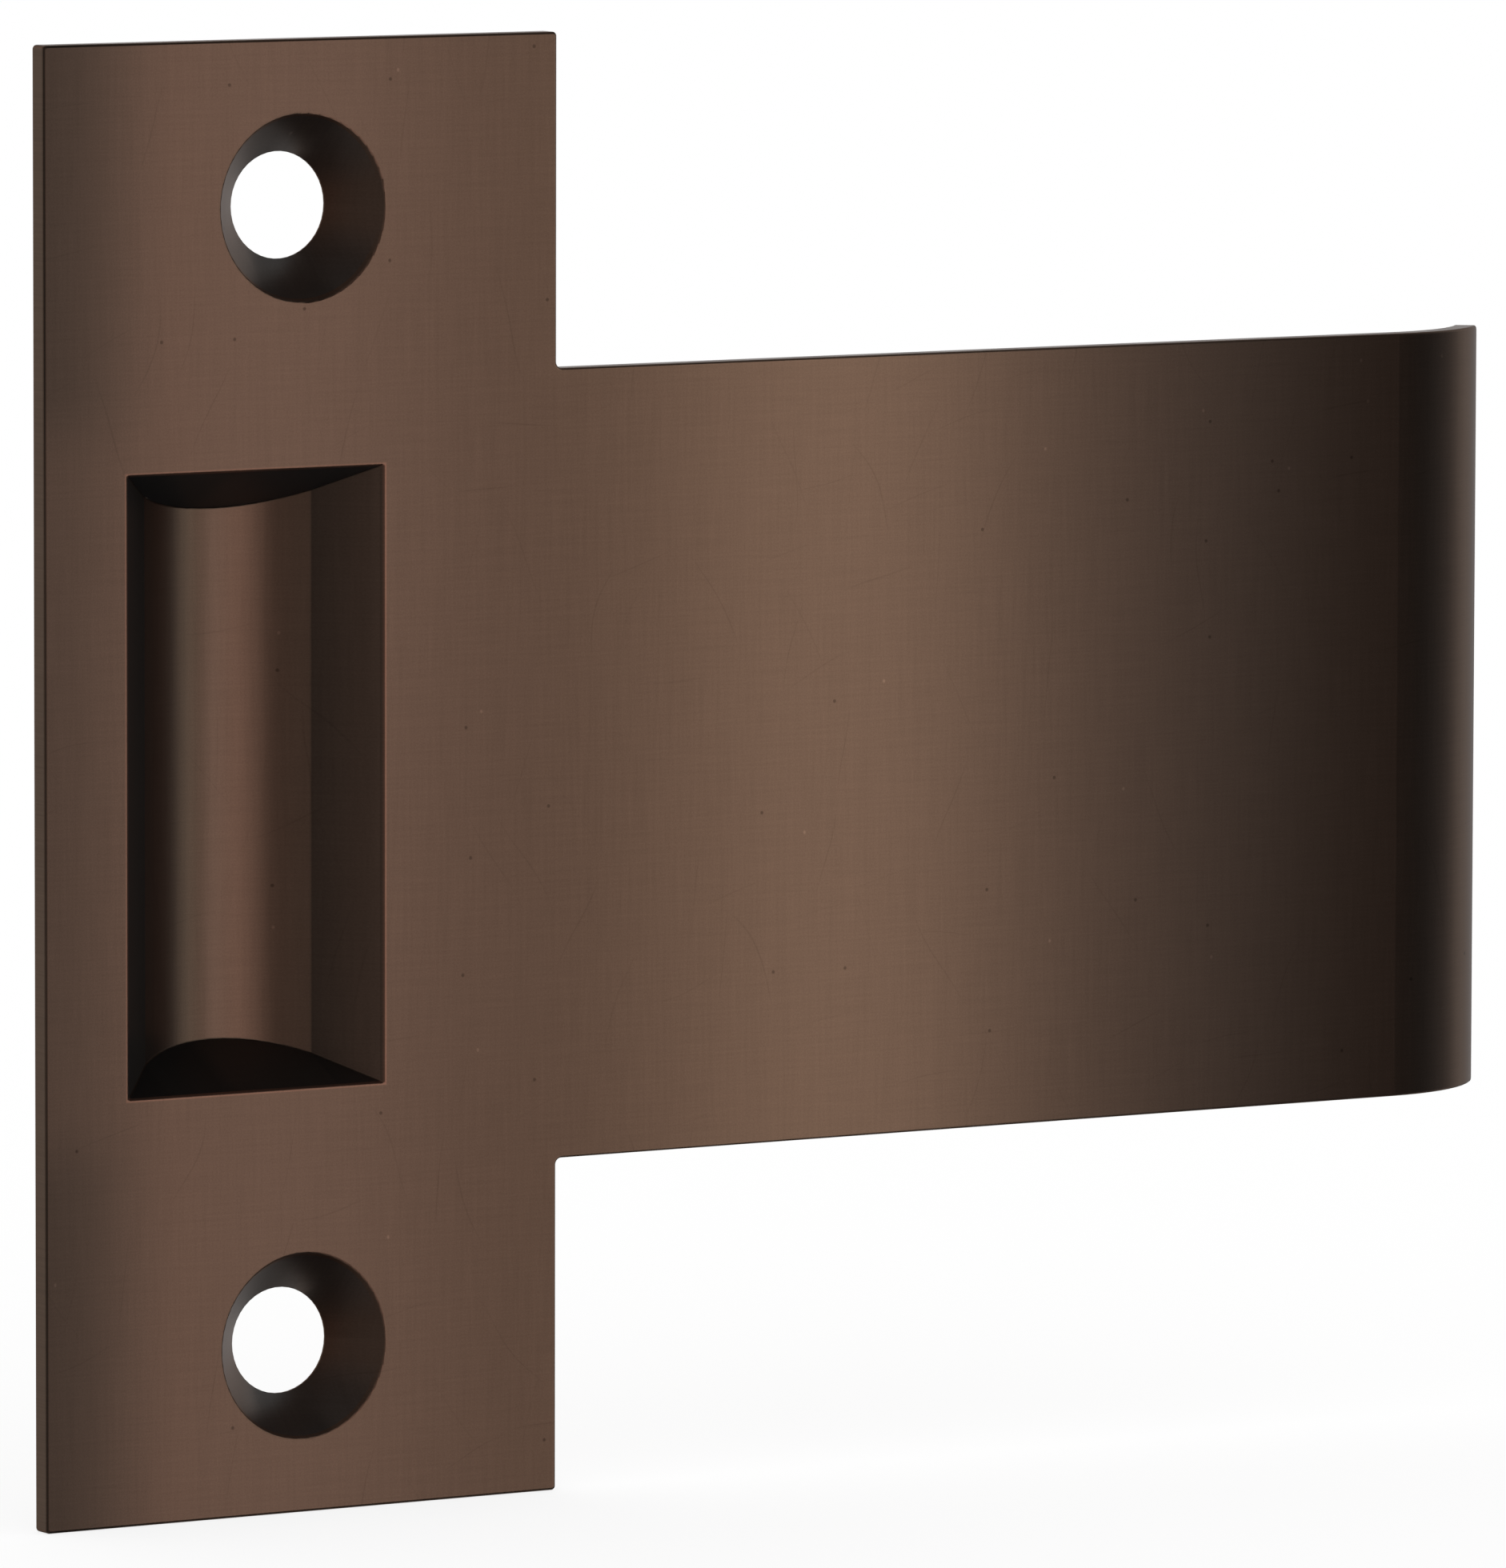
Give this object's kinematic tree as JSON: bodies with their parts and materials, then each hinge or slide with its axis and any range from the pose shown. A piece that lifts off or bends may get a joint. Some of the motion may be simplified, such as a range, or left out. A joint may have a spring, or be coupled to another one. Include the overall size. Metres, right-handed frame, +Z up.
{
  "type": "door strike plate",
  "caption": "T-shaped door strike plate with dimpled countersunk screw holes, a pressed pocket for a roller latch and a long lip with a curled-back end.",
  "frame": {"origin": "centre between the two screw holes, on the plane of the plate's back face", "axes": "+X towards the end of the long lip, +Y out of the back face into the door frame, +Z up along the line of the screw holes; the front face looks towards -Y"},
  "size_m": [0.0829, 0.0054, 0.0698],
  "materials": {
    "strike_plate": "dark oil-rubbed bronze, brushed lengthwise"
  },
  "bodies": {
    "root": {"strike_plate": "strike_plate"}
  },
  "joints": []
}
